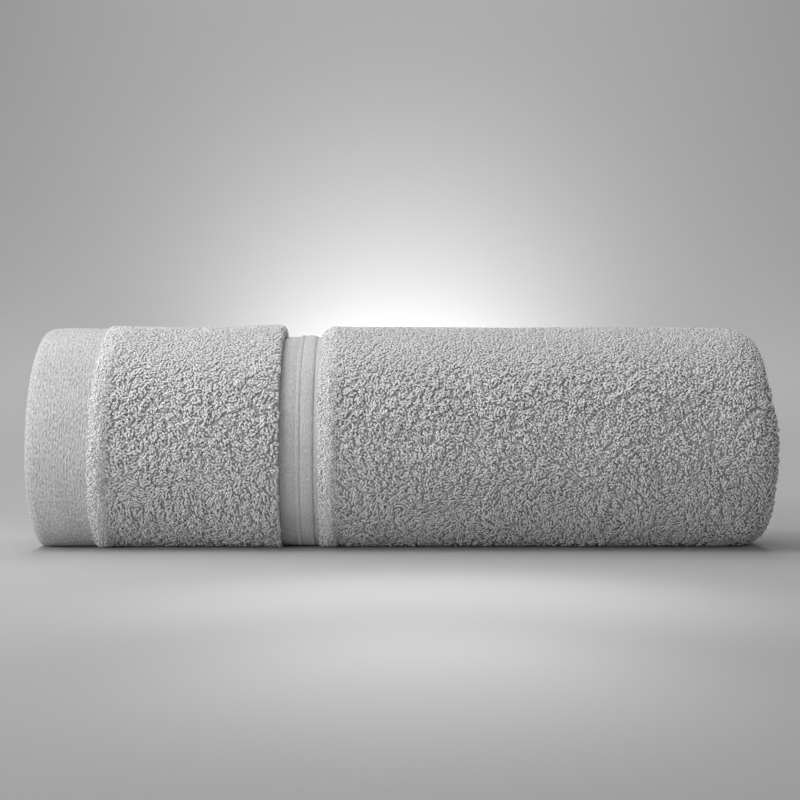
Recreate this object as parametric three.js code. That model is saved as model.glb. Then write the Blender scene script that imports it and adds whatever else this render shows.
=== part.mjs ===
// A bath towel, folded in thirds across its length and rolled up, lying on its side.
// Millimetres, +Z up. The roll lies along X, with its flat-woven hem at the -X end and
// its thick fold at the +X end. The front is -Y. The free end of the winding lies
// underneath, towards the back, and the roll rests on it.
import * as THREE from 'three';

// ---- sizes -------------------------------------------------------------------------
const ROLL_LENGTH = 464;         // hem edge to fold
const AXIS_HEIGHT = 69.5;        // centre of the winding above the surface it lies on
const FREE_END_ANGLE = 290;      // where the winding ends, in degrees from the back, over the top
const GROOVE_DEPTH = 9;          // how far the groove between two turns sinks into the roll's ends
const FOLD_REACH = 24;           // the outer turn's fold rounds off over this length at the +X end
const FOLD_LEAN = 5.2;           // on top, the fold end stands back by this much
const HEM_REACH = 7;             // the hem's edge rounds off over this length at the -X end
const CORE_SINK = 5;             // the core lies this much deeper than the outer turn at both ends
const OPENING = 25;              // degrees over which the outer turn comes out from under the free end

const STEPS = 60;                // steps in one turn
const TURNS = 3;                 // full turns between the core and the free end

// Radius of the wound surface, measured at five places round the roll. "angle" is in
// degrees from the back (+Y) over the top. The four radii are those of the core and of
// the first, second and third turn, all at that angle.
const WINDING = [
  { angle: -70, core: 1.5, first: 13.0, second: 35.0, third: 56.0 },
  { angle: 0, core: 3.0, first: 21.0, second: 43.5, third: 67.0 },
  { angle: 90, core: 5.0, first: 26.5, second: 49.0, third: 72.1 },
  { angle: 180, core: 7.0, first: 28.5, second: 50.5, third: 73.0 },
  { angle: 255, core: 10.5, first: 31.5, second: 53.0, third: 73.3 },
];
const FREE_END_RADIUS = 74;

// Bands along the roll, from the hem to the fold. "from" is the place along the roll,
// measured from the hem edge. "lift" is how far the band stands out of the round of the
// winding, or sinks into it. "slant" is how far it leans towards the fold on top, and
// away from it underneath, because the cloth was rolled up slightly askew.
const BANDS = [
  { from: HEM_REACH, lift: -1.4, slant: 2.7 },     // hem, rounding done
  { from: 18, lift: -1.0, slant: 3.3 },
  { from: 38.5, lift: -1.4, slant: 4.8 },
  { from: 41.5, lift: -0.1, slant: 4.8 },          // short stretch of pile
  { from: 50, lift: 0.3, slant: 4.3 },
  { from: 82, lift: -0.7, slant: 3.0 },
  { from: 112, lift: -0.3, slant: 2.0 },
  { from: 137, lift: 0.9, slant: 1.2 },
  { from: 150.5, lift: 1.2, slant: 0.9 },
  { from: 152.5, lift: 0.6, slant: 0.8 },
  { from: 154.3, lift: -2.5, slant: 0.8 },         // pile edge
  { from: 155.2, lift: -6.8, slant: 0.8 },         // flat border, recessed
  { from: 167.1, lift: -6.8, slant: 0.8 },
  { from: 168.1, lift: -6.1, slant: 0.8 },         // raised rib of the border
  { from: 175.0, lift: -6.1, slant: 0.8 },
  { from: 175.6, lift: -6.8, slant: 0.8 },
  { from: 180.6, lift: -6.8, slant: 0.8 },
  { from: 182.4, lift: -4.0, slant: 0.8 },         // pile edge
  { from: 184.8, lift: -0.6, slant: 0.8 },         // long stretch of pile
  { from: 192, lift: -0.1, slant: 0.7 },
  { from: 240, lift: -0.4, slant: 0.3 },
  { from: 300, lift: -0.9, slant: 0.0 },
  { from: 360, lift: -0.3, slant: 0.0 },
  { from: 410, lift: -0.6, slant: 0.0 },
  { from: ROLL_LENGTH - FOLD_REACH, lift: -1.1, slant: 0.0 },
];

// The shape of one turn at the roll's ends, across the thickness of the folded cloth
// from its inner to its outer side. "across" is the place in that thickness, "swell" is
// 1 where the cloth reaches furthest out and 0 at the groove.
const PLAIN_TURN = [
  { across: 0.0, swell: 0.0 },
  { across: 0.095, swell: 0.588 },
  { across: 0.345, swell: 0.951 },
  { across: 0.655, swell: 0.951 },
  { across: 0.905, swell: 0.588 },
  { across: 1.0, swell: 0.0 },
];
const OUTER_TURN_AT_FOLD = [
  { across: 0.0, swell: 0.0 },
  { across: 0.12, swell: 0.72 },
  { across: 0.36, swell: 1.0 },
  { across: 0.7, swell: 0.815 },
  { across: 0.92, swell: 0.457 },
  { across: 1.0, swell: 0.0 },
];
const OUTER_TURN_AT_HEM = [
  { across: 0.0, swell: 0.0 },
  { across: 0.25, swell: 0.6 },
  { across: 0.55, swell: 0.3 },
  { across: 0.8, swell: 1.0 },
  { across: 0.94, swell: 0.72 },
  { across: 1.0, swell: 0.0 },
];

// ---- small helpers -----------------------------------------------------------------
const mix = (a, b, f) => a + (b - a) * f;
const ease = (f) => { const c = Math.min(1, Math.max(0, f)); return c * c * (3 - 2 * c); };

// The radii of WINDING in the order in which the cloth passes them.
const passed = [];
for (const turn of ['core', 'first', 'second', 'third']) {
  const lap = passed.length / WINDING.length;
  for (const row of WINDING) {
    passed.push({ turn: lap - 1 + (row.angle - WINDING[0].angle) / 360, radius: row[turn] });
  }
}
passed.push({ turn: TURNS, radius: FREE_END_RADIUS });

// Radius of the winding after so many turns, smooth from row to row (cubic Hermite).
function windingRadius(turn) {
  let i = 0;
  while (i < passed.length - 2 && passed[i + 1].turn < turn) i += 1;
  const a = passed[i], b = passed[i + 1];
  const slope = (p, q) => (q.radius - p.radius) / (q.turn - p.turn);
  const here = slope(a, b);
  const before = i > 0 ? slope(passed[i - 1], b) : here;
  const after = i + 2 < passed.length ? slope(a, passed[i + 2]) : here;
  const span = b.turn - a.turn, f = (turn - a.turn) / span;
  const f2 = f * f, f3 = f2 * f;
  return (2 * f3 - 3 * f2 + 1) * a.radius + (f3 - 2 * f2 + f) * span * before
    + (3 * f2 - 2 * f3) * b.radius + (f3 - f2) * span * after;
}

const windingAngle = (turn) => THREE.MathUtils.degToRad(FREE_END_ANGLE - 360 * (TURNS - turn));

// A point of the roll: distance from the hem edge, radius, angle and slant. What would
// sink into the surface below is pressed flat on it.
function place(along, radius, angle, slant) {
  const z = Math.max(0, AXIS_HEIGHT + radius * Math.sin(angle));
  const back = FOLD_LEAN * ease((along - ROLL_LENGTH + 50) / 40) * ease(Math.sin(angle) / 0.75);
  const shift = (slant * Math.sin(angle) - back) * Math.min(1, radius / 60);
  return [along + shift, radius * Math.cos(angle), z];
}

// ---- the closed surface ------------------------------------------------------------
const positions = [];
const triangles = [];
const add = (point) => { positions.push(...point); return positions.length / 3 - 1; };
const ROWS = PLAIN_TURN.length - 1;

// One end of the roll: the wound-up cloth seen end on, each turn swelling out between
// two grooves. Returns its outline, which is one turn of the outer surface and then the
// free end's thickness, back to the start.
function rollEnd(atFold) {
  const outerTurn = atFold ? OUTER_TURN_AT_FOLD : OUTER_TURN_AT_HEM;
  const reach = atFold ? FOLD_REACH : HEM_REACH;
  const band = atFold ? BANDS[BANDS.length - 1] : BANDS[0];
  const along = (inset) => (atFold ? ROLL_LENGTH - inset : inset);
  const sink = (turn) => CORE_SINK * Math.min(1, Math.max(0, (TURNS - turn) / TURNS - 0.2));

  // groove lines, one point a step from the core to the free end
  const shown = (turn) => ease((turn - (TURNS - 1)) * 360 / OPENING);
  const groove = (turn) => mix(GROOVE_DEPTH + sink(turn), reach, shown(turn));
  const grooveLine = new Map();
  for (let k = -STEPS; k <= TURNS * STEPS; k += 1) {
    const turn = k / STEPS;
    const lift = band.lift * shown(turn);
    grooveLine.set(k, add(place(along(groove(turn)), windingRadius(turn) + lift,
      windingAngle(turn), band.slant)));
  }

  // the swell between two groove lines
  const across = new Map();
  for (let k = -STEPS; k <= (TURNS - 1) * STEPS; k += 1) {
    const inner = k / STEPS, outer = inner + 1;
    const open = shown(outer);
    const line = [grooveLine.get(k)];
    for (let j = 1; j < ROWS; j += 1) {
      const part = mix(PLAIN_TURN[j].across, outerTurn[j].across, open);
      const swell = mix(PLAIN_TURN[j].swell, outerTurn[j].swell, open);
      const rest = mix(groove(inner), groove(outer), part);
      const radius = mix(windingRadius(inner), windingRadius(outer) + band.lift * open, part);
      line.push(add(place(along(mix(rest, sink(outer), swell)), radius,
        windingAngle(inner), band.slant)));
    }
    line.push(grooveLine.get(k + STEPS));
    across.set(k, line);
  }

  const face = (a, b, c) => triangles.push(...(atFold ? [a, b, c] : [a, c, b]));
  for (let k = -STEPS; k < (TURNS - 1) * STEPS; k += 1) {
    const here = across.get(k), next = across.get(k + 1);
    for (let j = 0; j < ROWS; j += 1) {
      face(here[j], here[j + 1], next[j + 1]);
      face(here[j], next[j + 1], next[j]);
    }
  }

  // the core, from the centre to the first groove line
  const centre = add(place(along(GROOVE_DEPTH + CORE_SINK - 3), 0, 0, 0));
  for (let k = -STEPS; k < -1; k += 1) face(centre, grooveLine.get(k), grooveLine.get(k + 1));
  const last = grooveLine.get(-1), start = across.get(-STEPS);
  for (let j = ROWS; j > 0; j -= 1) face(last, start[j], start[j - 1]);
  face(last, start[0], centre);

  const outline = [];
  for (let k = (TURNS - 1) * STEPS; k <= TURNS * STEPS; k += 1) outline.push(grooveLine.get(k));
  const thickness = across.get((TURNS - 1) * STEPS);
  for (let j = ROWS - 1; j > 0; j -= 1) outline.push(thickness[j]);
  return outline;
}

// One section of the roll between its ends, in the same order as the outline of an end.
function section(band) {
  const outline = [];
  for (let k = 0; k <= STEPS; k += 1) {
    const turn = TURNS - 1 + k / STEPS;
    outline.push(add(place(band.from, windingRadius(turn) + band.lift, windingAngle(turn), band.slant)));
  }
  for (let j = ROWS - 1; j > 0; j -= 1) {
    const radius = mix(windingRadius(TURNS - 1), FREE_END_RADIUS, OUTER_TURN_AT_FOLD[j].across);
    outline.push(add(place(band.from, radius + band.lift, windingAngle(TURNS), band.slant)));
  }
  return outline;
}

const outlines = [rollEnd(false)];
for (const band of BANDS.slice(1, -1)) outlines.push(section(band));
outlines.push(rollEnd(true));

for (let m = 0; m < outlines.length - 1; m += 1) {
  const near = outlines[m], far = outlines[m + 1];
  for (let i = 0; i < near.length; i += 1) {
    const n = (i + 1) % near.length;
    triangles.push(near[i], near[n], far[n], near[i], far[n], far[i]);
  }
}

const geometry = new THREE.BufferGeometry();
geometry.setAttribute('position', new THREE.Float32BufferAttribute(positions, 3));
geometry.setIndex(triangles);
geometry.computeBoundingBox();
// the origin is under the middle of the roll, on the surface that it lies on
const middle = geometry.boundingBox.getCenter(new THREE.Vector3());
geometry.translate(-middle.x, -middle.y, -geometry.boundingBox.min.z);
geometry.computeVertexNormals();

const roll = new THREE.Mesh(geometry, new THREE.MeshStandardMaterial({
  color: 0xb4b4b4, roughness: 0.95, metalness: 0,
}));
roll.name = 'towel_roll';

const towel = new THREE.Group();
towel.add(roll);

export default towel;
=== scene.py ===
import math

import bpy
import numpy as np
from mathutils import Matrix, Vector
from mathutils.kdtree import KDTree


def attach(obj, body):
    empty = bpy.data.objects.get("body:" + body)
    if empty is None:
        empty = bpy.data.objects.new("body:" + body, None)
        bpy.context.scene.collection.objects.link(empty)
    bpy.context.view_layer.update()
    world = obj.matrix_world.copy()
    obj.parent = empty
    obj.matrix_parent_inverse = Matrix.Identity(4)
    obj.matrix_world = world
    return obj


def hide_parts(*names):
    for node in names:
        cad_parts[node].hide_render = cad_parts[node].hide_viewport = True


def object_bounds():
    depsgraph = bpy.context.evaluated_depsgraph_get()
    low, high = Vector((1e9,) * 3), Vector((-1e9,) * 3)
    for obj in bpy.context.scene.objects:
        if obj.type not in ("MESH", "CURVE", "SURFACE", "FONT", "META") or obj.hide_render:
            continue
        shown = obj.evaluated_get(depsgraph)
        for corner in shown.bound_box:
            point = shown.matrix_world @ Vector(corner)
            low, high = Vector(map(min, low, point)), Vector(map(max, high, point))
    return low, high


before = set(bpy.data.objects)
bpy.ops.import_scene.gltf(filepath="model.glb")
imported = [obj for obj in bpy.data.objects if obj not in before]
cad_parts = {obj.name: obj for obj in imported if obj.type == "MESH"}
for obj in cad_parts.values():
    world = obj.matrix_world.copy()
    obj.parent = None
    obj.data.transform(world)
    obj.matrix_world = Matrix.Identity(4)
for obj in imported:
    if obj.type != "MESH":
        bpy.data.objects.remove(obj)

cad_lo, cad_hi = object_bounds()
MM = 0.001
rng = np.random.default_rng(20)

# ---- camera: level, a little above the roll's middle, looking along +Y ----------------
CAM_X, CAM_AWAY, CAM_Z = -0.65, 1103.5, 93.9     # from the roll's middle, its axis, the floor
FOCAL = 36.0 * 1696.0 / 800.0

# ---- the winding, as in the part's own source ------------------------------------------
ROLL_LENGTH = 464.0
AXIS_HEIGHT = 69.5
FREE_END_ANGLE = 290.0
GROOVE_DEPTH = 9.0
FOLD_REACH = 24.0
HEM_REACH = 7.0
CORE_SINK = 5.0
OPENING = 25.0
FOLD_LEAN = 5.2
TURNS = 3

# angle from the back over the top, then the wound radius of the core and of each turn
WINDING = [
    (-70.0, 1.5, 13.0, 35.0, 56.0),
    (0.0, 3.0, 21.0, 43.5, 67.0),
    (90.0, 5.0, 26.5, 49.0, 72.1),
    (180.0, 7.0, 28.5, 50.5, 73.0),
    (255.0, 10.5, 31.5, 53.0, 73.3),
]
FREE_END_RADIUS = 74.0

# place along the roll from the hem edge, how far the pile's tips or the flat weave stand
# out of the winding's round, how far the band leans towards the fold on top
BANDS = [
    (0.0, -1.4, 2.7),
    (7.0, -1.4, 2.7),
    (18.0, -1.0, 3.3),
    (38.5, -1.4, 4.8),
    (40.3, -1.3, 4.8),
    (41.0, -0.8, 4.8),
    (41.8, 0.1, 4.8),
    (43.0, 0.6, 4.8),
    (44.5, 0.8, 4.7),
    (47.5, 0.6, 4.5),
    (50.0, 0.1, 4.3),
    (82.0, -0.7, 3.0),
    (112.0, -0.3, 2.0),
    (137.0, 0.9, 1.2),
    (150.5, 1.2, 0.9),
    (152.5, 0.6, 0.8),
    (154.0, -2.5, 0.8),
    (154.6, -7.5, 0.8),
    (156.2, -7.5, 0.8),
    (157.8, -6.8, 0.8),
    (166.0, -6.8, 0.8),
    (166.5, -5.9, 0.8),
    (167.0, -5.6, 0.8),
    (167.5, -5.9, 0.8),
    (167.9, -6.8, 0.8),
    (168.4, -7.3, 0.8),
    (168.9, -6.2, 0.8),
    (169.6, -5.8, 0.8),
    (174.6, -5.8, 0.8),
    (175.5, -6.1, 0.7),
    (176.1, -7.8, 0.7),
    (176.7, -7.8, 0.7),
    (177.4, -6.8, 0.8),
    (180.6, -6.8, 0.8),
    (181.3, -6.0, 0.8),
    (182.5, -3.6, 0.8),
    (183.2, -2.4, 0.8),
    (184.4, -0.8, 0.8),
    (185.8, 0.1, 0.8),
    (188.0, 0.2, 0.8),
    (192.0, -0.3, 0.7),
    (240.0, -0.4, 0.3),
    (300.0, -0.9, 0.0),
    (360.0, -0.3, 0.0),
    (410.0, -0.6, 0.0),
    (440.0, -1.1, 0.0),
    (464.0, -1.1, 0.0),
]
BAND_X = np.array([b[0] for b in BANDS])
BAND_LIFT = np.array([b[1] for b in BANDS])
BAND_SLANT = np.array([b[2] for b in BANDS])

PILE = 2.3           # height of the pile over the ground cloth
GROUND = 3.0         # thickness of the ground cloth
HEM = 2.4            # thickness of the hem, two layers of flat weave
BORDER = 2.0         # thickness of the flat border
HEM_END, BORDER_START, BORDER_END = 41.5, 155.0, 182.5
WELTS = ((41.0, 48.5), (181.8, 189.5))


def mix(a, b, f):
    return a + (b - a) * f


def ease(f):
    f = np.clip(f, 0.0, 1.0)
    return f * f * (3 - 2 * f)


passed = []
for lap in range(4):
    for row in WINDING:
        passed.append((lap - 1 + (row[0] - WINDING[0][0]) / 360.0, row[1 + lap]))
passed.append((3.0, FREE_END_RADIUS))
P_TURN = np.array([p[0] for p in passed])
P_RADIUS = np.array([p[1] for p in passed])
steps = np.diff(P_RADIUS) / np.diff(P_TURN)
wide = (P_RADIUS[2:] - P_RADIUS[:-2]) / (P_TURN[2:] - P_TURN[:-2])
P_SLOPE = np.concatenate([[steps[0]], wide, [steps[-1]]])


def winding_radius(turn):
    turn = np.asarray(turn, float)
    i = np.clip(np.searchsorted(P_TURN, turn, side="right") - 1, 0, len(P_TURN) - 2)
    span = P_TURN[i + 1] - P_TURN[i]
    f = (turn - P_TURN[i]) / span
    f2, f3 = f * f, f * f * f
    r = ((2 * f3 - 3 * f2 + 1) * P_RADIUS[i] + (f3 - 2 * f2 + f) * span * P_SLOPE[i]
         + (3 * f2 - 2 * f3) * P_RADIUS[i + 1] + (f3 - f2) * span * P_SLOPE[i + 1])
    return np.where(turn < -1, 0.6, np.where(turn > 3, FREE_END_RADIUS, r))


def winding_angle(turn):
    return np.radians(FREE_END_ANGLE - 360.0 * (TURNS - np.asarray(turn, float)))


# where the part's own source puts the roll's middle
lap = 2 + np.arange(61) / 60
front = ((winding_radius(lap) + 1.2) * np.cos(winding_angle(lap))).min()
X_SHIFT = cad_hi.x / MM - ROLL_LENGTH
Y_SHIFT = cad_lo.y / MM - front


def place(along, radius, angle, slant):
    """Rows of points in millimetres, in the model's frame. What would sink into the
    surface below is pressed flat on it."""
    soft = 2.0
    sag = ease((-np.sin(angle) - 0.78) / 0.2) * ease((radius - 58.0) / 6.0)
    radius = radius + 0.75 * sag * np.maximum(0.0, -np.interp(along, BAND_X, BAND_LIFT) - 1.4)
    z = AXIS_HEIGHT + radius * np.sin(angle)
    z = np.where(z < soft, soft * np.exp((z - soft) / soft), z)
    back = FOLD_LEAN * ease((along - ROLL_LENGTH + 50) / 40) * ease(np.sin(angle) / 0.75)
    up = np.sin(angle)
    tilt = np.where(up > 0, np.abs(up) ** 1.1, 0.35 * up) + 0.25 * np.exp(-(up / 0.35) ** 2)
    x = along + (slant * tilt - back) * np.minimum(1.0, radius / 60.0)
    return np.stack([x + X_SHIFT, radius * np.cos(angle) + Y_SHIFT, z], -1)


# ---- the cloth's path through one turn, seen along the winding -------------------------
# The outer layer starts at the hem edge, runs to the thick fold, which takes it round to
# the inner layer; that runs back to a fold beside the hem and comes out as the middle
# layer, whose own hem ends inside the thick fold.
LONG = np.unique(np.concatenate([
    np.arange(7.0, 38.0, 3.0), [38.5, 39.5, 40.3, 41.0, 41.8, 43.0, 44.5, 46.0, 47.5, 49.0],
    np.arange(50.0, 150.0, 9.0), [149.0, 150.5, 151.6, 152.5, 153.3, 154.0, 154.6, 155.4, 156.2, 157.8, 161.5, 165.2],
    [166.0, 166.5, 167.0, 167.5, 167.9, 168.4, 168.9, 169.6, 172.0, 174.6, 175.5, 176.1, 176.7, 177.4],
    [178.5, 180.6, 181.3, 181.9, 182.5, 183.2, 184.4, 185.8, 187.2, 188.6, 190.0, 192.5],
    np.arange(200.0, 440.0, 12.0), [440.0]]))
N_RIM, N_FOLD, N_RUN, N_TURN, N_MID = 7, 9, 8, 7, 8


def pile_share(x):
    """1 where there is pile on the outer layer, 0 on the flat weaves and on the welts that
    the pile starts from, which face the hem."""
    return (ease((x - WELTS[0][1] + 3.0) / 3.5) * (1 - ease((x - 151.5) / 2.5))
            + ease((x - WELTS[1][1] + 3.0) / 3.5))


def brushed(height):
    """On top of the roll the pile lies flat and even: 1 there, 0 from mid-height down."""
    return ease((height - 0.30) / 0.55)


def path_of_turn(turn):
    """Centre line of the cloth at this turn, as place along the roll and depth under the
    winding's round, with the cloth's thickness and a kind for each point."""
    outer, inner = winding_radius(turn), winding_radius(turn - 1)
    deep = float(outer - inner)
    shown = float(ease((turn - 2) * 360 / OPENING))
    sink = CORE_SINK * min(1.0, max(0.0, (TURNS - turn) / TURNS - 0.2))
    pile = min(PILE, 0.11 * deep) * (1 - 0.8 * float(brushed(math.sin(float(winding_angle(turn))))))
    cloth = min(GROUND, 0.18 * deep)
    hem = min(HEM, 0.15 * deep)
    first = pile + cloth / 2
    last = deep - pile - cloth / 2
    middle = deep / 2

    x, d, t, kind = [], [], [], []

    def go(px, pd, pt, what):
        x.append(px), d.append(pd), t.append(pt), kind.append(what)

    # hem edge, curled in
    rim = min(3.2, 0.16 * deep)
    for a in np.linspace(math.radians(104), 0, N_RIM, endpoint=False):
        go(sink + HEM_REACH - (HEM_REACH - hem / 2) * math.sin(a),
           1.4 + hem / 2 + rim * (1 - math.cos(a)), hem, 0)
    # outer layer; on top of the roll its welts lie level with the brushed pile
    share = pile_share(LONG)
    lift = np.interp(LONG, BAND_X, BAND_LIFT)
    for edge, low in zip(WELTS, (1.5, 1.0)):
        on = ease((LONG - edge[0]) / 2.0) * (1 - ease((LONG - edge[1] + 1.0) / 2.0))
        lift = lift - low * on * float(brushed(math.sin(float(winding_angle(turn)))))
    thick = np.where(LONG < HEM_END, hem, np.where(
        (LONG > BORDER_START - 1) & (LONG < BORDER_END), BORDER, cloth))
    thick = np.minimum(thick, cloth)
    # only the outermost turn is pulled in by the border; the turns inside it less so
    press = mix(0.35, 1.0, shown)
    far = ROLL_LENGTH - sink - mix(GROOVE_DEPTH + pile, FOLD_REACH, shown)
    for px, pl, ps, pt in zip(LONG, lift, share, thick):
        depth = -pl * press + pile * ps + pt / 2
        what = 0 if px < HEM_END else 1 if BORDER_START <= px <= BORDER_END else 2
        go(min(px, far) if px < 440 else far, depth, pt, what)
    # thick fold round to the inner layer
    tip_x = ROLL_LENGTH - sink - pile - cloth / 2
    tip_d = mix(0.5, 0.64, shown) * deep
    start = d[-1]
    for a in np.linspace(0, math.pi / 2, N_FOLD + 1)[1:]:
        go(far + (tip_x - far) * math.sin(a), tip_d - (tip_d - start) * math.cos(a), cloth, 3)
    near = ROLL_LENGTH - sink - GROOVE_DEPTH - pile
    for a in np.linspace(0, math.pi / 2, N_FOLD)[1:]:
        go(near + (tip_x - near) * math.cos(a), tip_d + (last - tip_d) * math.sin(a), cloth, 3)
    # inner layer back to the hem's end of the roll
    left_tip = 3.6 + sink + pile + cloth / 2
    left = left_tip + 6.0
    for px in np.linspace(near, left, N_RUN + 1)[1:]:
        go(px, last, cloth, 4)
    half = (last - middle) / 2
    for a in np.linspace(0, math.pi, N_TURN + 2)[1:]:
        go(left - (left - left_tip) * math.sin(a), last - half * (1 - math.cos(a)), cloth, 3)
    # middle layer to its own hem inside the thick fold
    for px in np.linspace(left, ROLL_LENGTH - sink - 26.0, N_MID + 1)[1:]:
        go(px, middle, cloth, 4)
    return np.array(x), np.array(d), np.array(t), np.array(kind)


def section_at(turn, round_off=1.0):
    """Outer and inner side of the cloth at this turn: along, radius, for each path point."""
    x, d, t, kind = path_of_turn(min(turn, 3.0))
    tx, td = np.gradient(x), np.gradient(d)
    size = np.hypot(tx, td)
    size[size == 0] = 1
    nx, nd = td / size, -tx / size       # points out of the roll on the outer layer
    h = t / 2 * round_off
    r = float(winding_radius(min(turn, 3.0)))
    out = np.stack([x + nx * h, r - (d + nd * h)], -1)
    inn = np.stack([x - nx * h, r - (d - nd * h)], -1)
    return out, inn, d / max(r, 1), kind


turns = np.concatenate([
    np.linspace(-0.62, 2.0, 100, endpoint=False),
    np.linspace(2.0, 3.0, 113),
])
rings_out, rings_inn = [], []
selvedge = [(3.0025, 0.7), (3.0042, 0.25)]           # the rounded edge of the cloth
start_edge = [(-0.622, 0.4)]
for turn, fat in ([(t, f) for t, f in start_edge] + [(float(t), 1.0) for t in turns] + selvedge):
    out, inn, depth, kinds = section_at(turn, fat)
    angle = winding_angle(turn)
    # the three selvedges at the free end don't lie exactly over each other
    behind = 0.075 * ease((turn - 2.9) / 0.1) * np.clip(depth * 6.0, 0, 1) ** 1.5
    slant_o = np.interp(out[:, 0], BAND_X, BAND_SLANT)
    slant_i = np.interp(inn[:, 0], BAND_X, BAND_SLANT)
    rings_out.append(place(out[:, 0], out[:, 1], angle - behind, slant_o))
    rings_inn.append(place(inn[:, 0], inn[:, 1], angle - behind, slant_i))
OUT, INN = np.array(rings_out), np.array(rings_inn)        # rings x path x 3
ring_turn = np.array([start_edge[0][0], *turns, *[s[0] for s in selvedge]])
R, N = OUT.shape[:2]


def grid_faces(rows, cols, first=0, flip=False):
    a = first + (np.arange(rows - 1)[:, None] * cols + np.arange(cols - 1)[None]).ravel()
    q = np.stack([a, a + 1, a + cols + 1, a + cols], -1)
    return q[:, ::-1] if flip else q


def make_mesh(name, verts, quads, tris=None):
    """A mesh object from arrays, in metres."""
    me = bpy.data.meshes.new(name)
    nq, nt = len(quads), 0 if tris is None else len(tris)
    me.vertices.add(len(verts))
    me.vertices.foreach_set("co", (verts * MM).astype(np.float32).ravel())
    loops = np.concatenate([np.asarray(quads).ravel()] + ([np.asarray(tris).ravel()] if nt else []))
    me.loops.add(len(loops))
    me.loops.foreach_set("vertex_index", loops.astype(np.int32))
    me.polygons.add(nq + nt)
    starts = np.concatenate([np.arange(nq) * 4, nq * 4 + np.arange(nt) * 3])
    me.polygons.foreach_set("loop_start", starts.astype(np.int32))
    me.update(calc_edges=True)
    me.polygons.foreach_set("use_smooth", np.ones(nq + nt, bool))
    ob = bpy.data.objects.new(name, me)
    bpy.context.scene.collection.objects.link(ob)
    return ob


# the closed cloth: outer side, inner side, hem edges and selvedges
verts = np.concatenate([OUT.reshape(-1, 3), INN.reshape(-1, 3)])
half = R * N
outer_q = grid_faces(R, N)
inner_q = grid_faces(R, N, half, flip=True)
r_i = np.arange(R - 1)
edge_a = np.stack([r_i * N, (r_i + 1) * N, half + (r_i + 1) * N, half + r_i * N], -1)
edge_b = np.stack([r_i * N + N - 1, half + r_i * N + N - 1, half + (r_i + 1) * N + N - 1,
                   (r_i + 1) * N + N - 1], -1)
c_i = np.arange(N - 1)
cap_a = np.stack([c_i, half + c_i, half + c_i + 1, c_i + 1], -1)
top = (R - 1) * N
cap_b = np.stack([top + c_i, top + c_i + 1, half + top + c_i + 1, half + top + c_i], -1)
quads = np.concatenate([outer_q, inner_q, edge_a, edge_b, cap_a, cap_b])
v0, v1, v2 = (verts[quads[:, i]] for i in range(3))
v3 = verts[quads[:, 3]]
volume = (np.einsum("ij,ij->i", v0, np.cross(v1, v2)) + np.einsum("ij,ij->i", v0, np.cross(v2, v3))).sum() / 6
if volume < 0:
    quads = quads[:, ::-1]
cloth = make_mesh("towel_cloth", verts, quads)

# material of each face: 0 under the pile, 1 hem, 2 border
k_of = np.concatenate([kinds, kinds])
face_kind = np.zeros(len(quads), np.int32)
col = quads % half % N
kmin = kinds[col].min(1)
kmax = kinds[col].max(1)
face_kind[(kmax == 0)] = 1
face_kind[(kmax == 1) & (kmin == 1)] = 2
welt_x = np.concatenate([np.full(N_RIM, -1.0), LONG, np.full(N - N_RIM - len(LONG), -1.0)])[col]
# index 3 marks the welts, whose lighter material is painted highlight
for edge in WELTS:
    face_kind[(welt_x.min(1) >= edge[0] - 0.8) & (welt_x.max(1) <= edge[1] + 0.6)] = 3
cloth.data.polygons.foreach_set("material_index", face_kind)

# a weave map, in millimetres along the roll and round it, and one for baking that gives
# most room to what shows
arc_step = np.linalg.norm(np.diff(OUT[:, 20], axis=0), axis=1)
arc = np.concatenate([[0], np.cumsum(arc_step)])
run_step = np.linalg.norm(np.diff(OUT[R - 40], axis=0), axis=1)
run = np.concatenate([[0], np.cumsum(run_step)])
weight = run_step * np.where(kinds[1:] == 0, 6.0, np.where(kinds[1:] == 1, 8.0, 1.0))
pack_u = np.concatenate([[0], np.cumsum(weight)])
pack_u /= pack_u[-1]
weight = arc_step * np.where(ring_turn[1:] > 2.0, 4.0, 1.0)
pack_v = np.concatenate([[0], np.cumsum(weight)])
pack_v /= pack_v[-1]
ring_of, col_of = (np.arange(len(verts)) % half) // N, np.arange(len(verts)) % half % N
inner_side = np.arange(len(verts)) >= half
loops = np.empty(len(cloth.data.loops), np.int32)
cloth.data.loops.foreach_get("vertex_index", loops)
weave_uv = np.stack([run[col_of], arc[ring_of]], -1) * 0.01
cloth.data.uv_layers.new(name="Weave").data.foreach_set("uv", weave_uv[loops].astype(np.float32).ravel())
bake_uv = np.stack([np.where(inner_side, 0.82 + 0.17 * pack_u[col_of], 0.005 + 0.80 * pack_u[col_of]),
                    0.005 + 0.99 * pack_v[ring_of]], -1)
cloth.data.uv_layers.new(name="OFBake").data.foreach_set("uv", bake_uv[loops].astype(np.float32).ravel())


# ---- the pile ----------------------------------------------------------------------------
# columns of the path: the rim comes first, then LONG, then the two folds
C_LONG = N_RIM
C_FOLD = C_LONG + len(LONG)
C_FOLD_END = C_FOLD + N_FOLD + N_FOLD - 1
C_LEFT = C_FOLD_END + N_RUN
C_LEFT_END = C_LEFT + N_TURN + 1
OUTER_RING = int(np.searchsorted(ring_turn, 2.0))
LAST_RING = int(np.searchsorted(ring_turn, 2.985))
FIRST_RING = int(np.searchsorted(ring_turn, -0.55))
long_x = np.concatenate([np.zeros(N_RIM), LONG, np.full(N - N_RIM - len(LONG), 470.0)])


def column_at(x):
    return C_LONG + int(np.searchsorted(LONG, x))


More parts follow.
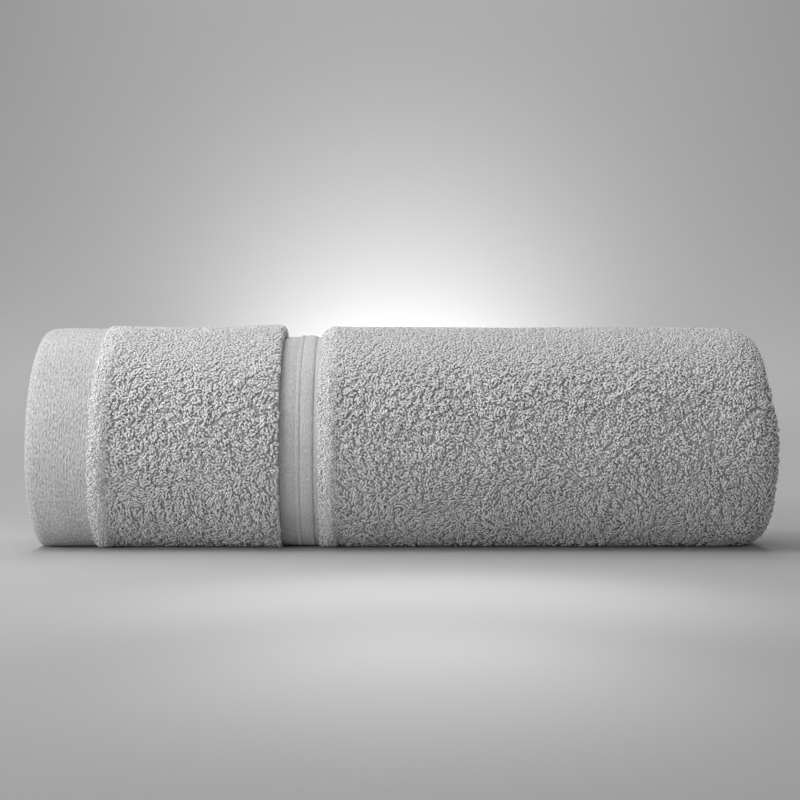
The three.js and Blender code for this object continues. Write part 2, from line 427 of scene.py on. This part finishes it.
def cells(rings, cols):
    """Cells of the cloth's outer side between two rings and two path points, to set loops
    on: corners, area vectors that point out of the cloth, and each cell's column."""
    a = OUT[rings[0]:rings[1], cols[0]:cols[1]]
    b = OUT[rings[0]:rings[1], cols[0] + 1:cols[1] + 1]
    c = OUT[rings[0] + 1:rings[1] + 1, cols[0] + 1:cols[1] + 1]
    d = OUT[rings[0] + 1:rings[1] + 1, cols[0]:cols[1]]
    quad = np.stack([a, b, c, d], 2).reshape(-1, 4, 3)
    n = np.cross(quad[:, 2] - quad[:, 0], quad[:, 3] - quad[:, 1]) / 2
    mid = quad.mean(1)
    if cols[0] < C_FOLD - 2:
        away = np.stack([np.zeros(len(mid)), mid[:, 1] - Y_SHIFT, mid[:, 2] - AXIS_HEIGHT], -1)
    else:
        away = np.zeros_like(mid)
        away[:, 0] = 1.0 if cols[0] < C_LEFT else -1.0
    if np.einsum("ij,ij->i", away, n).sum() < 0:
        n = -n
    col = np.broadcast_to(np.arange(cols[0], cols[1]), (rings[1] - rings[0], cols[1] - cols[0]))
    return quad, n, col.ravel()


def scatter(quad, normal, col, gap, tries=5):
    """Points on the cells, at least gap apart."""
    area = np.linalg.norm(normal, axis=1)
    count = int(area.sum() * 0.70 / (gap * gap) * tries)
    pick = rng.choice(len(area), count, p=area / area.sum())
    u, v = rng.random(count), rng.random(count)
    q = quad[pick]
    p = (q[:, 0] * ((1 - u) * (1 - v))[:, None] + q[:, 1] * (u * (1 - v))[:, None]
         + q[:, 2] * (u * v)[:, None] + q[:, 3] * ((1 - u) * v)[:, None])
    cell = gap / 1.7320508
    key = np.floor((p + 500.0) / cell).astype(np.int64)
    taken, keep = {}, []
    g2 = gap * gap
    near = [(i, j, l) for i in (-2, -1, 0, 1, 2) for j in (-2, -1, 0, 1, 2) for l in (-2, -1, 0, 1, 2)
            if i * i + j * j + l * l < 9]
    near.sort(key=lambda w: w[0] * w[0] + w[1] * w[1] + w[2] * w[2])
    pl, kl = p.tolist(), key.tolist()
    for i in range(count):
        kx, ky, kz = kl[i]
        if (kx, ky, kz) in taken:
            continue
        px, py, pz = pl[i]
        for dx, dy, dz in near:
            o = taken.get((kx + dx, ky + dy, kz + dz))
            if o is not None and (px - o[0]) ** 2 + (py - o[1]) ** 2 + (pz - o[2]) ** 2 < g2:
                break
        else:
            taken[kx, ky, kz] = (px, py, pz)
            keep.append(i)
    keep = np.array(keep)
    n = normal[pick[keep]] / area[pick[keep]][:, None]
    x = np.interp(col[pick[keep]] + u[keep], np.arange(N), long_x)
    return p[keep], n, x


def swirl(p, scale, seed):
    """A smooth field over the cloth, about -2 to 2, from a few waves in space."""
    r = np.random.default_rng(seed)
    total = np.zeros(len(p))
    for _ in range(7):
        w = r.normal(size=3)
        w *= (0.6 + 0.8 * r.random()) / (scale * np.linalg.norm(w))
        total += np.sin(p @ w * 2 * math.pi + r.random() * 6.3)
    return total


def tufts(p, n, x, quad, normal, col, gap):
    """Loops stand in small bunches: for each loop the direction, height and offset of its
    bunch, and how far it stands from the bunch's middle."""
    c, _, _ = scatter(quad, normal, col, gap, 4)
    tree = KDTree(len(c))
    for i, q in enumerate(c.tolist()):
        tree.insert(q, i)
    tree.balance()
    near = np.array([tree.find(q)[1] for q in p.tolist()])
    angle = (0.8 * swirl(c, 34.0, 3) + rng.normal(0, 0.8, len(c)))[near]
    height = rng.uniform(-1, 1, len(c))[near]
    lean = rng.normal(0, 1, (len(c), 3))[near]
    lean -= n * np.einsum("ij,ij->i", n, lean)[:, None]
    return angle, height, lean, c[near] - p


SIDES = 3
# a loop's middle line: place along it, height, thickness, from foot to foot
SHORT = ((-1.0, -0.42, 0.42, 1.0), (-0.25, 1.0, 1.0, -0.25), (0, 1.0, 1.0, 0))
ROUND = ((-1.0, -0.62, 0.0, 0.62, 1.0), (-0.25, 0.82, 1.06, 0.82, -0.25), (0, 0.95, 1.0, 0.95, 0))


def loop_arrays(shape, p, n, angle, size, rise, fat, lean_to, bend):
    """Closed loops of yarn, one at each point: corner points, quads, triangles and, for
    each face corner, a place in the loop's own strip of a map."""
    m = len(p)
    ref = np.tile(np.array([1.0, 0.0, 0.0]), (m, 1))
    ref[np.abs(n[:, 0]) > 0.9] = (0.0, 0.3, 1.0)
    e1 = ref - n * np.einsum("ij,ij->i", ref, n)[:, None]
    e1 /= np.linalg.norm(e1, axis=1)[:, None]
    e2 = np.cross(n, e1)
    c, s = np.cos(angle)[:, None], np.sin(angle)[:, None]
    along, across = e1 * c + e2 * s, e2 * c - e1 * s
    ra, ru, rf = (np.array(row)[None, :, None] for row in shape)
    up = np.clip(ru, 0, 1)
    slope = np.clip(rng.normal(0, 0.34, m), -0.7, 0.7)[:, None, None]
    centre = (p[:, None] + along[:, None] * ra * size[:, None, None]
              + across[:, None] * bend[:, None, None] * (ra * ra - 0.4)
              + n[:, None] * ru * rise[:, None, None] * (1 + slope * ra)
              + lean_to[:, None] * up)
    run_dir = np.gradient(centre, axis=1)
    run_dir /= np.linalg.norm(run_dir, axis=2)[:, :, None]
    b = np.cross(run_dir, n[:, None])
    b /= np.maximum(np.linalg.norm(b, axis=2), 1e-6)[:, :, None]
    a = np.cross(b, run_dir)
    rings = len(shape[0])
    parts = [centre[:, :1]]
    for j in range(1, rings - 1):
        for i in range(SIDES):
            w = 2 * math.pi * i / SIDES + math.pi / 3
            parts.append(centre[:, j:j + 1] + (a[:, j:j + 1] * (0.8 * math.cos(w)) + b[:, j:j + 1] * math.sin(w))
                         * fat[:, None, None] * shape[2][j])
    parts.append(centre[:, -1:])
    v = np.concatenate(parts, 1)
    low = v[..., 2]
    v[..., 2] = np.where(low < 1.6, 1.6 * np.exp((low - 1.6) / 1.6), low)
    per = 2 + (rings - 2) * SIDES
    q, t, quv, tuv = [], [], [], []
    last = 1 + (rings - 3) * SIDES
    wide = 1.0 / (rings - 1)
    for i in range(SIDES):
        i2 = (i + 1) % SIDES
        lo, hi = i / SIDES, (i + 1) / SIDES
        t.append([0, 1 + i2, 1 + i])
        tuv += [(0, (lo + hi) / 2), (wide, hi), (wide, lo)]
        t.append([per - 1, last + i, last + i2])
        tuv += [(1, (lo + hi) / 2), (1 - wide, lo), (1 - wide, hi)]
        for j in range(rings - 3):
            q.append([1 + j * SIDES + i, 1 + j * SIDES + i2, 1 + (j + 1) * SIDES + i2, 1 + (j + 1) * SIDES + i])
            quv += [((j + 1) * wide, lo), ((j + 1) * wide, hi), ((j + 2) * wide, hi), ((j + 2) * wide, lo)]
    first = (np.arange(m) * per)[:, None, None]
    return (v.reshape(-1, 3), (np.array(q)[None] + first).reshape(-1, 4),
            (np.array(t)[None] + first).reshape(-1, 3), np.array(quv), np.array(tuv), m)


pile = []


def build_piece(name, jobs):
    """Joins loops of both shapes to one object, with a map for baking: a small square for
    each loop."""
    verts, quads_, tris, quv, tuv = [], [], [], [], []
    total = sum(j[5] for j in jobs)
    side = math.ceil(math.sqrt(total))
    base, at = 0, 0
    for v, q, t, qm, tm, m in jobs:
        quads_.append(q + base)
        tris.append(t + base)
        index = np.arange(m) + at
        corner = np.stack([index % side, index // side], -1)[:, None] / side
        for store, own in ((quv, qm), (tuv, tm)):
            store.append((corner + (0.1 + 0.8 * own[None]) / side).reshape(-1, 2))
        verts.append(v)
        base += len(v)
        at += m
    ob = make_mesh(name, np.concatenate(verts), np.concatenate(quads_), np.concatenate(tris))
    uv = np.concatenate(quv + tuv)
    ob.data.uv_layers.new(name="OFBake").data.foreach_set("uv", uv.astype(np.float32).ravel())
    pile.append(ob)


def loops_for(p, n, x, bunch, fine=1.0, flat=1.0):
    """Both shapes of loop for these points."""
    angle, height, lean, to_mid = bunch
    m = len(p)
    high = (p[:, 2] - AXIS_HEIGHT) / 72.0
    # low on the roll the loops hang, more or less, round it
    angle = math.pi / 2 + (angle + rng.normal(0, 0.6, m)) * (1 - 0.6 * ease((0.0 - high) / 0.6))
    off = np.linalg.norm(to_mid, axis=1)
    patch = 0.5 + 0.5 * np.tanh(swirl(p, 46.0, 77) / 1.4)
    flatten = 0.86 if fine == 1 else 0.4
    calm = (1 - flatten * brushed(high) - 0.26 * ease((-0.6 - high) / 0.4)) * (1 - 0.3 * patch * (fine == 1))
    hill = 0.03 * swirl(p, 24.0, 31) + 0.09 * height - 0.026 * off * off / fine
    coarse = 0.94 + 0.10 * ease((p[:, 1] - Y_SHIFT) / 50.0)
    size = rng.uniform(1.2, 1.85, m) * fine * coarse
    rise = PILE * flat * calm * np.clip(0.80 + rng.uniform(-0.25, 0.20, m) / flat + hill, 0.3, 1.08 / flat ** 0.4)
    fat = rng.uniform(0.74, 0.98, m) * fine * coarse
    lean_to = 0.34 * lean * fine * calm[:, None] + 0.14 * to_mid
    bend = rng.normal(0, 0.5, m) * fine
    # at the thick fold the bent cloth opens the pile
    rise *= 1 + (0.3 * rng.random(m) - 0.12) * ease((x - 425.0) / 20.0)
    # at the border the pile's last row leans over the flat weave, as rounded tufts
    near = np.clip(1 - np.abs(x - 152.5) / 3.0, 0, 1)
    lean_to[:, 0] += (0.1 + 1.0 * rng.random(m)) * near
    fat *= 1 + 0.25 * near
    for edge in WELTS:
        near = np.clip(1 - np.abs(x - edge[0]) / 6.0, 0, 1)
        lean_to[:, 0] -= (0.5 + 0.9 * rng.random(m)) * near * (fine < 1)
        # beside the welt the pile is short, which sets it off
        rise *= 1 - 0.2 * np.clip(1 - np.abs(x - edge[1] - 1.0) / 3.0, 0, 1) * (fine == 1)
    some = rng.random(m) < 0.45
    out = []
    for shape, pick in ((SHORT, ~some), (ROUND, some)):
        out.append(loop_arrays(shape, p[pick], n[pick], angle[pick], size[pick] * (1.1 if shape is ROUND else 1),
                               rise[pick], fat[pick], lean_to[pick], bend[pick]))
    return out


GAP = 1.34           # loops are set at least this far apart
outer = [cells((OUTER_RING, LAST_RING), (column_at(a), column_at(b))) for a, b in
         ((WELTS[0][1] - 2.4, 152.6), (WELTS[1][1] - 2.2, 440.0))]
outer.append(cells((OUTER_RING, LAST_RING), (C_FOLD - 1, C_FOLD_END - 3)))
quad, normal, col = (np.concatenate([o[i] for o in outer]) for i in range(3))
p, n, x = scatter(quad, normal, col, GAP)
# the strip that lies on the floor is pressed flat and needs fewer loops, and so does the
# back, where they are coarser
keep = (p[:, 2] > 4.0) | (rng.random(len(p)) < 0.55)
keep &= rng.random(len(p)) > 0.24 * ease((p[:, 1] - Y_SHIFT) / 50.0)
p, n, x = p[keep], n[keep], x[keep]
bunch = tufts(p, n, x, quad, normal, col, 4.3)
limits = [("pile_hem_side", 0, 100), ("pile_border_side", 100, 155), ("pile_long_a", 155, 240),
          ("pile_long_b", 240, 305), ("pile_long_c", 305, 372), ("pile_long_d", 372, 441),
          ("pile_fold_outer", 441, 999)]
for name, lo, hi in limits:
    pick = (x >= lo) & (x < hi)
    build_piece(name, loops_for(p[pick], n[pick], x[pick], [b[pick] for b in bunch]))

# folds of the turns inside, at both ends
for name, rings, cols in (("pile_fold_inner", (FIRST_RING, OUTER_RING), (C_FOLD - 1, C_FOLD_END - 1)),
                          ("pile_left_folds", (FIRST_RING, LAST_RING), (C_LEFT, C_LEFT_END))):
    quad, normal, col = cells(rings, cols)
    p, n, x = scatter(quad, normal, col, 1.45 if name == "pile_fold_inner" else 2.05)
    x = x + 470
    build_piece(name, loops_for(p, n, x, tufts(p, n, x, quad, normal, col, 4.3)))

# short, fine loops on the welts
jobs = []
for edge in WELTS:
    quad, normal, col = cells((OUTER_RING, LAST_RING), (column_at(edge[0]), column_at(edge[1])))
    p, n, x = scatter(quad, normal, col, 1.0)
    jobs += loops_for(p, n, x, tufts(p, n, x, quad, normal, col, 3.4), 0.7, 0.56)
build_piece("pile_welts", jobs)


# ---- materials ---------------------------------------------------------------------------
def new_material(name, colour, rough, sheen, soft=0.0, deep=0.002):
    m = bpy.data.materials.new(name)
    m.use_nodes = True
    nt = m.node_tree
    nt.nodes.clear()
    out = nt.nodes.new("ShaderNodeOutputMaterial")
    sh = nt.nodes.new("ShaderNodeBsdfPrincipled")
    nt.links.new(sh.outputs[0], out.inputs["Surface"])
    sh.inputs["Base Color"].default_value = (*colour, 1)
    sh.inputs["Roughness"].default_value = rough
    sh.inputs["Specular IOR Level"].default_value = 0.15
    sh.inputs["Sheen Weight"].default_value = sheen
    sh.inputs["Sheen Roughness"].default_value = 0.5
    # cotton lets some light through
    sh.inputs["Subsurface Weight"].default_value = soft
    sh.inputs["Subsurface Radius"].default_value = (1, 1, 1)
    sh.inputs["Subsurface Scale"].default_value = deep
    return m, nt, sh


def noise_of(nt, vector, scale, detail=2.0, rough=0.5):
    n = nt.nodes.new("ShaderNodeTexNoise")
    n.inputs["Scale"].default_value = scale
    n.inputs["Detail"].default_value = detail
    n.inputs["Roughness"].default_value = rough
    nt.links.new(vector, n.inputs["Vector"])
    return n.outputs["Fac"]


def ramp_of(nt, fac, rows):
    r = nt.nodes.new("ShaderNodeValToRGB")
    while len(r.color_ramp.elements) < len(rows):
        r.color_ramp.elements.new(0.5)
    for e, (pos, c) in zip(r.color_ramp.elements, rows):
        e.position = pos
        e.color = (*c, 1)
    nt.links.new(fac, r.inputs["Fac"])
    return r.outputs["Color"]


def grey(v):
    return (v, v, v * 1.005)


def math_of(nt, kind, a, b=None, c=None):
    m = nt.nodes.new("ShaderNodeMath")
    m.operation = kind
    for i, v in enumerate((a, b, c)):
        if isinstance(v, (int, float)):
            m.inputs[i].default_value = v
        elif v is not None:
            nt.links.new(v, m.inputs[i])
    return m.outputs[0]


def weave_material(name, light, dark, rib, length, depth):
    """Flat weave: fine ribs that run round the roll, broken into short uneven stitches, with painted shade on the low
    parts of the stitches.
    """
    m, nt, sh = new_material(name, grey(light), 0.85, 0.25)
    uv = nt.nodes.new("ShaderNodeUVMap")
    uv.uv_map = "Weave"

    def scaled(width, height):
        mp = nt.nodes.new("ShaderNodeMapping")
        mp.inputs["Scale"].default_value = (100.0 / width, 100.0 / height, 1.0)
        nt.links.new(uv.outputs[0], mp.inputs["Vector"])
        return mp.outputs[0]

    stitch = noise_of(nt, scaled(rib * 0.5, length), 1.0, 2.0, 0.7)
    broad = noise_of(nt, scaled(14.0, 30.0), 1.0, 2.0, 0.5)
    split = nt.nodes.new("ShaderNodeSeparateXYZ")
    nt.links.new(scaled(rib, rib), split.inputs[0])
    way = math_of(nt, "MULTIPLY_ADD", broad, 2.4, split.outputs[0])
    wave = math_of(nt, "SINE", math_of(nt, "MULTIPLY", way, 2 * math.pi))
    height = math_of(nt, "MULTIPLY_ADD", wave, 0.035, stitch)
    # the colour follows the stitches' height: the low parts are painted darker as shade, and a broad noise varies the
    # grey at random
    painted_shade_and_tone = math_of(nt, "MULTIPLY_ADD", broad, 0.15, height)
    colour = ramp_of(nt, painted_shade_and_tone, [(0.32, grey(dark)), (0.72, grey(light))])
    nt.links.new(colour, sh.inputs["Base Color"])
    bump = nt.nodes.new("ShaderNodeBump")
    bump.inputs["Strength"].default_value = 1.0
    bump.inputs["Distance"].default_value = depth
    nt.links.new(height, bump.inputs["Height"])
    nt.links.new(bump.outputs[0], sh.inputs["Normal"])
    r = nt.nodes.new("ShaderNodeMapRange")
    r.inputs["To Min"].default_value = 0.92
    r.inputs["To Max"].default_value = 0.74
    nt.links.new(stitch, r.inputs["Value"])
    nt.links.new(r.outputs[0], sh.inputs["Roughness"])
    return m


def ground_material(name, dark, light, scale):
    m, nt, sh = new_material(name, grey(light), 0.95, 0.3)
    tc = nt.nodes.new("ShaderNodeTexCoord")
    # one noise sets both the colour and the bump, so the low parts of the bump are painted darker as shade
    f = noise_of(nt, tc.outputs["Object"], scale, 2.0)
    nt.links.new(ramp_of(nt, f, [(0.3, grey(dark)), (0.7, grey(light))]), sh.inputs["Base Color"])
    bump = nt.nodes.new("ShaderNodeBump")
    bump.inputs["Distance"].default_value = 0.0006
    nt.links.new(f, bump.inputs["Height"])
    nt.links.new(bump.outputs[0], sh.inputs["Normal"])
    return m


def pile_material(name, dark, light, soft, deep):
    m, nt, sh = new_material(name, grey(light), 0.9, 0.45, soft, deep)
    tc = nt.nodes.new("ShaderNodeTexCoord")
    broad = noise_of(nt, tc.outputs["Object"], 45.0, 2.0)
    nt.links.new(ramp_of(nt, broad, [(0.3, grey(dark)), (0.7, grey(light))]), sh.inputs["Base Color"])
    twist = noise_of(nt, tc.outputs["Object"], 1500.0, 1.0)
    bump = nt.nodes.new("ShaderNodeBump")
    bump.inputs["Strength"].default_value = 0.6
    bump.inputs["Distance"].default_value = 0.0003
    nt.links.new(twist, bump.inputs["Height"])
    nt.links.new(bump.outputs[0], sh.inputs["Normal"])
    return m


# the ground cloth under the loops is painted darker than the pile's yarn: painted shade in the gaps between the loops
cloth.data.materials.append(ground_material("terry_ground_painted_shade", 0.38, 0.50, 700.0))
# hem and border: the dark grey is painted shade in the weave's hollows, the light grey is the cloth's own
cloth.data.materials.append(weave_material("hem_weave", 0.82, 0.36, 2.0, 2.4, 0.0024))
cloth.data.materials.append(weave_material("border_weave", 0.71, 0.43, 1.6, 2.4, 0.0009))
# the welts' ground cloth is painted much lighter than the rest of the cloth: painted highlight where the fuzzy welts
# catch the light
cloth.data.materials.append(ground_material("terry_welt", 0.80, 0.88, 900.0))
pile_mat = pile_material("terry_pile", 0.71, 0.79, 0.45, 0.002)
# a lighter copy of the pile material for the welts' loops: painted highlight
painted_highlight_welt_mat = pile_material("terry_welt_pile_painted_highlight", 0.89, 0.94, 0.5, 0.0015)

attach(cloth, "root")
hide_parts("towel_roll")
for ob in pile:
    ob.data.materials.append(painted_highlight_welt_mat if ob.name == "pile_welts" else pile_mat)
    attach(ob, "root")

# ---- camera, floor, backdrop and light -------------------------------------------------------
cam = bpy.data.cameras.new("camera")
cam.sensor_width = 36.0
cam.lens = FOCAL
cam.clip_start, cam.clip_end = 0.05, 50
cam_ob = bpy.data.objects.new("camera", cam)
cam_ob.location = (CAM_X * MM, (Y_SHIFT - CAM_AWAY) * MM, CAM_Z * MM)
cam_ob.rotation_euler = (math.radians(90), 0, 0)
bpy.context.scene.collection.objects.link(cam_ob)
bpy.context.scene.camera = cam_ob

# floor that curves up into a backdrop
prof = [(-3.0, 0.0), (0.6, 0.0)]
for a in np.linspace(0, math.pi / 2, 17)[1:]:
    prof.append((0.6 + 0.9 * math.sin(a), 0.9 * (1 - math.cos(a))))
prof.append((1.5, 3.0))
sv = []
for x in (-4.0, 4.0):
    sv += [(x, y, z) for y, z in prof]
n = len(prof)
me = bpy.data.meshes.new("studio_floor")
me.from_pydata(sv, [], [(i, i + 1, n + i + 1, n + i) for i in range(n - 1)])
me.polygons.foreach_set("use_smooth", [True] * len(me.polygons))
floor = bpy.data.objects.new("studio_floor", me)
bpy.context.scene.collection.objects.link(floor)
fm, fnt, fsh = new_material("studio_grey", (0.47, 0.47, 0.472), 0.9, 0.0)
floor.data.materials.append(fm)


def area_light(name, loc, target, size, power, size_y=None):
    li = bpy.data.lights.new(name, "AREA")
    li.energy = power
    li.size = size
    if size_y:
        li.shape = "RECTANGLE"
        li.size_y = size_y
    ob = bpy.data.objects.new(name, li)
    ob.location = loc
    d = Vector(target) - Vector(loc)
    ob.rotation_mode = "QUATERNION"
    ob.rotation_quaternion = d.to_track_quat("-Z", "Y")
    bpy.context.scene.collection.objects.link(ob)
    return ob


def spot_light(name, loc, target, cone, power, soft):
    li = bpy.data.lights.new(name, "SPOT")
    li.energy = power
    li.spot_size = math.radians(cone)
    li.spot_blend = 1.0
    li.shadow_soft_size = soft
    ob = bpy.data.objects.new(name, li)
    ob.location = loc
    ob.rotation_mode = "QUATERNION"
    ob.rotation_quaternion = (Vector(target) - Vector(loc)).to_track_quat("-Z", "Y")
    bpy.context.scene.collection.objects.link(ob)
    return ob


# a soft key from above on the left, softer light from the front left, from low in front and
# from behind above, two beams that make the pool of light on the floor, and a glow on the
# backdrop
area_light("key_up", (-0.35, -0.25, 0.75), (0.0, 0.0, 0.07), 0.5, 3.2)
area_light("fill_left", (-0.9, -1.1, 0.2), (-0.1, 0.0, 0.05), 0.6, 5.5)
area_light("rim_left", (-0.72, -0.21, 0.19), (-0.22, 0.0, 0.09), 0.22, 1.2)
area_light("fill_low", (0.0, -1.4, 0.25), (0.0, 0.0, 0.05), 0.8, 2.0)
area_light("back_top", (0.0, 0.75, 1.3), (0.0, 0.7, 0.0), 1.2, 9.2)
spot_light("floor_near", (0.02, -0.221, 0.35), (0.02, -0.312, 0.0), 57.3, 2.8, 0.05)
spot_light("floor_far", (0.01, -0.15, 0.40), (0.01, -0.53, 0.0), 24.4, 6.3, 0.05)
for side in (-1, 1):
    spot_light("glow", (0.061 * side, 0.76, 0.02), (0.061 * side, 1.5, -0.027), 90.8, 38.6, 0.1)
    spot_light("wash", (0.5 * side, 0.9, 0.25), (0.5 * side, 1.4, 0.05), 150, 0.8, 0.2)
    spot_light("wash_floor", (0.5 * side, 0.65, 0.5), (0.5 * side, 0.65, 0.0), 100, 1.5, 0.1)

world = bpy.data.worlds.new("studio")
world.use_nodes = True
world.node_tree.nodes["Background"].inputs[0].default_value = (1, 1, 1, 1)
world.node_tree.nodes["Background"].inputs[1].default_value = 0.21
bpy.context.scene.world = world
bpy.context.scene.view_settings.view_transform = "Standard"
